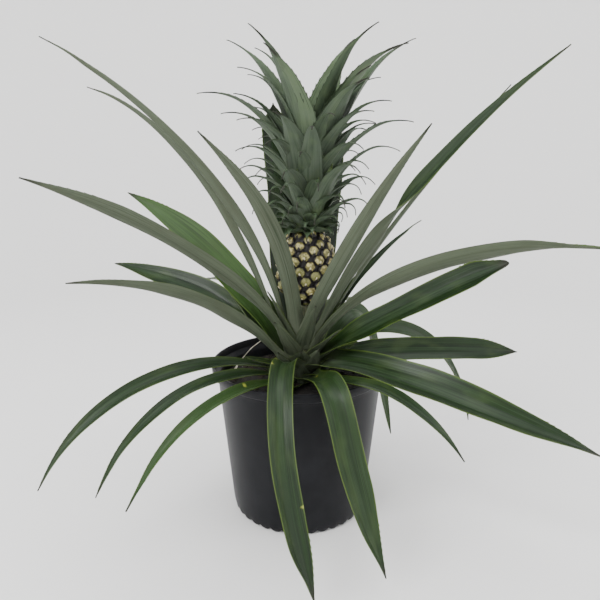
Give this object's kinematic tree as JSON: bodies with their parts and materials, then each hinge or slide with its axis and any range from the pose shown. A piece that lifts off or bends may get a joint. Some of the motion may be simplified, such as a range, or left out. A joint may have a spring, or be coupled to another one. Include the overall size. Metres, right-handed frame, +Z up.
{
  "type": "potted pineapple plant",
  "caption": "a fruiting pineapple plant in a plain round nursery pot, with long arching channelled leaves and a small fruit under a leafy crown",
  "frame": {"origin": "on the pot's axis, on the surface that the pot stands on", "axes": "+Z up; -Y is the front, where two blades hang over the lip; +X is to the right as seen from the front"},
  "size_m": [0.4769, 0.426, 0.4377],
  "materials": {
    "pot_plastic": "satin black moulded plastic",
    "potting_mix": "dark crumbly potting mix",
    "stem_green": "fibrous green stem",
    "fruit_skin": "gold and olive knobbly skin with brown bracts",
    "crown_heart": "pale green crown core",
    "dry_straw": "dry pale leaf strip",
    "leaf_green": "waxy green blade with a dusty grey under side",
    "crown_green": "blue-green crown blade with fine teeth"
  },
  "bodies": {
    "root": {"pot": "pot_plastic", "soil": "potting_mix", "stem": "stem_green", "fruit": "fruit_skin", "crown_stem": "crown_heart", "dry_leaf_strip": "dry_straw", "leaf_left_longest": "leaf_green", "leaf_left_arched": "leaf_green", "leaf_left_inner": "leaf_green", "leaf_left_spreading": "leaf_green", "leaf_left_broad": "leaf_green", "leaf_left_hooked": "leaf_green", "leaf_left_level": "leaf_green", "leaf_left_drooping": "leaf_green", "leaf_left_hanging": "leaf_green", "leaf_left_low": "leaf_green", "leaf_front_left": "leaf_green", "leaf_front_right": "leaf_green", "leaf_right_inner": "leaf_green", "leaf_right_longest": "leaf_green", "leaf_right_twin": "leaf_green", "leaf_right_short": "leaf_green", "leaf_right_arched": "leaf_green", "leaf_right_broad": "leaf_green", "leaf_right_level": "leaf_green", "leaf_right_glossy": "leaf_green", "leaf_right_under": "leaf_green", "leaf_right_trailing": "leaf_green", "leaf_right_folded": "leaf_green", "leaf_back_left": "leaf_green", "leaf_back_right": "leaf_green", "leaf_back_arched": "leaf_green", "leaf_back_low": "leaf_green", "leaf_back_hanging": "leaf_green", "crown_leaf_01": "crown_green", "crown_leaf_02": "crown_green", "crown_leaf_03": "crown_green", "crown_leaf_04": "crown_green", "crown_leaf_05": "crown_green", "crown_leaf_06": "crown_green", "crown_leaf_07": "crown_green", "crown_leaf_08": "crown_green", "crown_leaf_09": "crown_green", "crown_leaf_10": "crown_green", "crown_leaf_11": "crown_green", "crown_leaf_12": "crown_green", "crown_leaf_13": "crown_green", "crown_leaf_14": "crown_green", "crown_leaf_15": "crown_green", "crown_leaf_16": "crown_green", "crown_leaf_17": "crown_green", "crown_leaf_18": "crown_green", "crown_leaf_19": "crown_green", "crown_leaf_20": "crown_green", "crown_leaf_21": "crown_green", "crown_leaf_22": "crown_green", "crown_leaf_23": "crown_green", "crown_leaf_24": "crown_green"}
  },
  "joints": []
}
